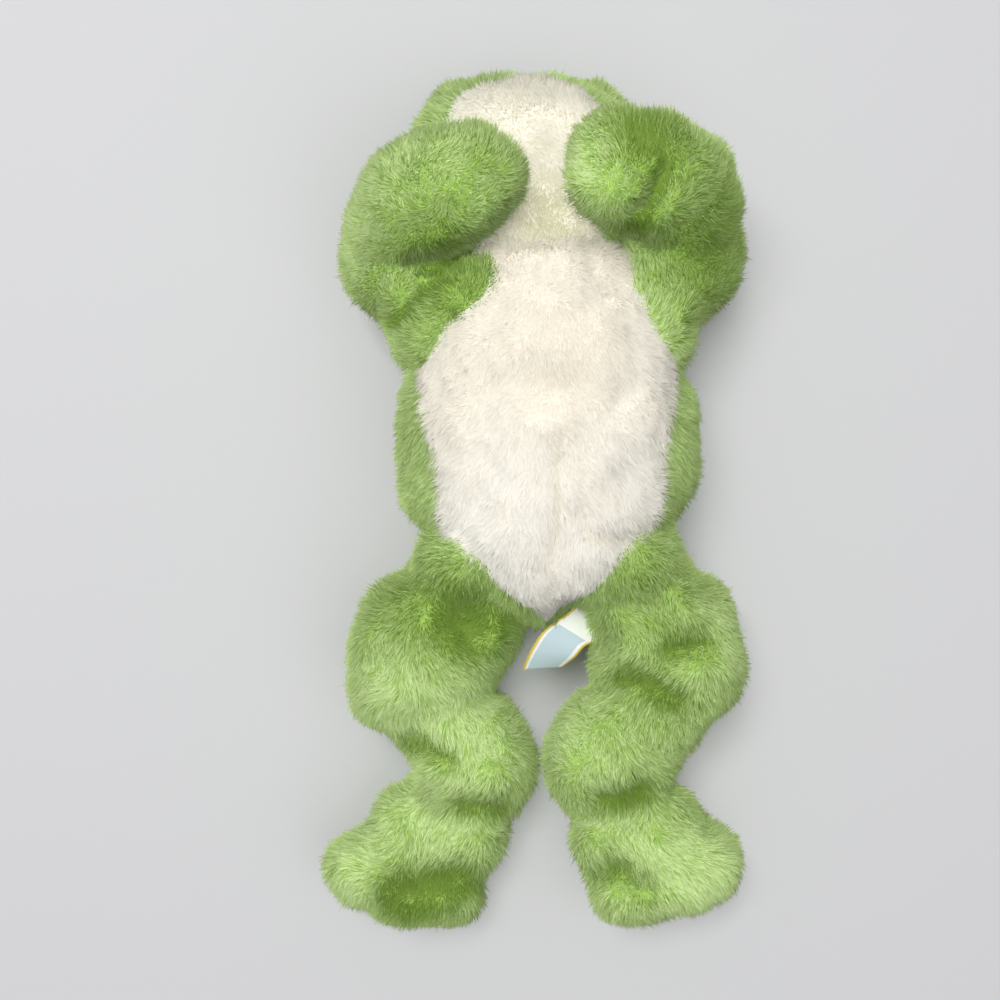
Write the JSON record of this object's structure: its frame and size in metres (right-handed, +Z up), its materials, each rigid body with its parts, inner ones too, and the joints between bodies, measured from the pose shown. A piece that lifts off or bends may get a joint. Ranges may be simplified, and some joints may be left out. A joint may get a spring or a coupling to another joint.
{
  "type": "plush frog",
  "caption": "Stuffed plush frog lying on its back, with a cream belly, green sides, folded arms and bent legs that move at its seams.",
  "frame": {"origin": "centre of the bounding box at the height of the surface that the frog lies on", "axes": "+Y towards the head, +Z up out of the belly, +X towards the frog's left side"},
  "size_m": [0.1295, 0.2716, 0.0733],
  "materials": {
    "green_plush": "long soft pile",
    "cream_plush": "long soft pile",
    "filling": "loose fibre",
    "eye_plastic": "polished",
    "washer_plastic": "moulded",
    "label_cloth": "woven satin ribbon"
  },
  "bodies": {
    "torso": {"back_panel": "green_plush", "belly_panel": "cream_plush", "torso_filling": "filling", "care_label": "label_cloth"},
    "head": {"crown_panel": "green_plush", "chin_panel": "cream_plush", "head_filling": "filling", "right_eye_mound": "green_plush", "right_eye": "eye_plastic", "right_eye_washer": "washer_plastic", "left_eye_mound": "green_plush", "left_eye": "eye_plastic", "left_eye_washer": "washer_plastic"},
    "right_upper_arm": {"right_upper_arm": "green_plush"},
    "right_forearm": {"right_forearm": "green_plush"},
    "right_thigh": {"right_thigh": "green_plush"},
    "right_shin": {"right_shin": "green_plush"},
    "right_foot": {"right_foot": "green_plush"},
    "left_upper_arm": {"left_upper_arm": "green_plush"},
    "left_forearm": {"left_forearm": "green_plush"},
    "left_thigh": {"left_thigh": "green_plush"},
    "left_shin": {"left_shin": "green_plush"},
    "left_foot": {"left_foot": "green_plush"}
  },
  "joints": [
    {"name": "neck", "type": "hinge", "parent": "torso", "child": "head", "pos_m": [0.0036, 0.07703, 0.0116], "axis": [-1, 0, 0], "range_deg": [0, 20]},
    {"name": "right_shoulder", "type": "hinge", "parent": "torso", "child": "right_upper_arm", "pos_m": [-0.02943, 0.05525, 0.03283], "axis": [0, 0, 1], "range_deg": [0, 45]},
    {"name": "right_elbow", "type": "hinge", "parent": "right_upper_arm", "child": "right_forearm", "pos_m": [-0.04246, 0.08081, 0.02406], "axis": [0.4342, -0.8521, 0.2924], "range_deg": [0, 75]},
    {"name": "right_hip", "type": "hinge", "parent": "torso", "child": "right_thigh", "pos_m": [-0.02061, -0.0234, 0.04098], "axis": [-1, 0, 0], "range_deg": [0, 60]},
    {"name": "right_knee", "type": "hinge", "parent": "right_thigh", "child": "right_shin", "pos_m": [-0.03758, -0.05165, 0.02205], "axis": [0, 0, -1], "range_deg": [0, 35]},
    {"name": "right_ankle", "type": "hinge", "parent": "right_shin", "child": "right_foot", "pos_m": [-0.01652, -0.08964, 0.01978], "axis": [-1, 0, 0], "range_deg": [0, 40]},
    {"name": "left_shoulder", "type": "hinge", "parent": "torso", "child": "left_upper_arm", "pos_m": [0.03573, 0.05658, 0.03329], "axis": [0, 0, -1], "range_deg": [0, 45]},
    {"name": "left_elbow", "type": "hinge", "parent": "left_upper_arm", "child": "left_forearm", "pos_m": [0.04642, 0.08303, 0.02402], "axis": [0.3563, 0.8818, -0.309], "range_deg": [0, 75]},
    {"name": "left_hip", "type": "hinge", "parent": "torso", "child": "left_thigh", "pos_m": [0.0303, -0.02159, 0.04098], "axis": [-1, 0, 0], "range_deg": [0, 60]},
    {"name": "left_knee", "type": "hinge", "parent": "left_thigh", "child": "left_shin", "pos_m": [0.0437, -0.05169, 0.02205], "axis": [0, 0, 1], "range_deg": [0, 35]},
    {"name": "left_ankle", "type": "hinge", "parent": "left_shin", "child": "left_foot", "pos_m": [0.01941, -0.0877, 0.01978], "axis": [-1, 0, 0], "range_deg": [0, 40]}
  ]
}
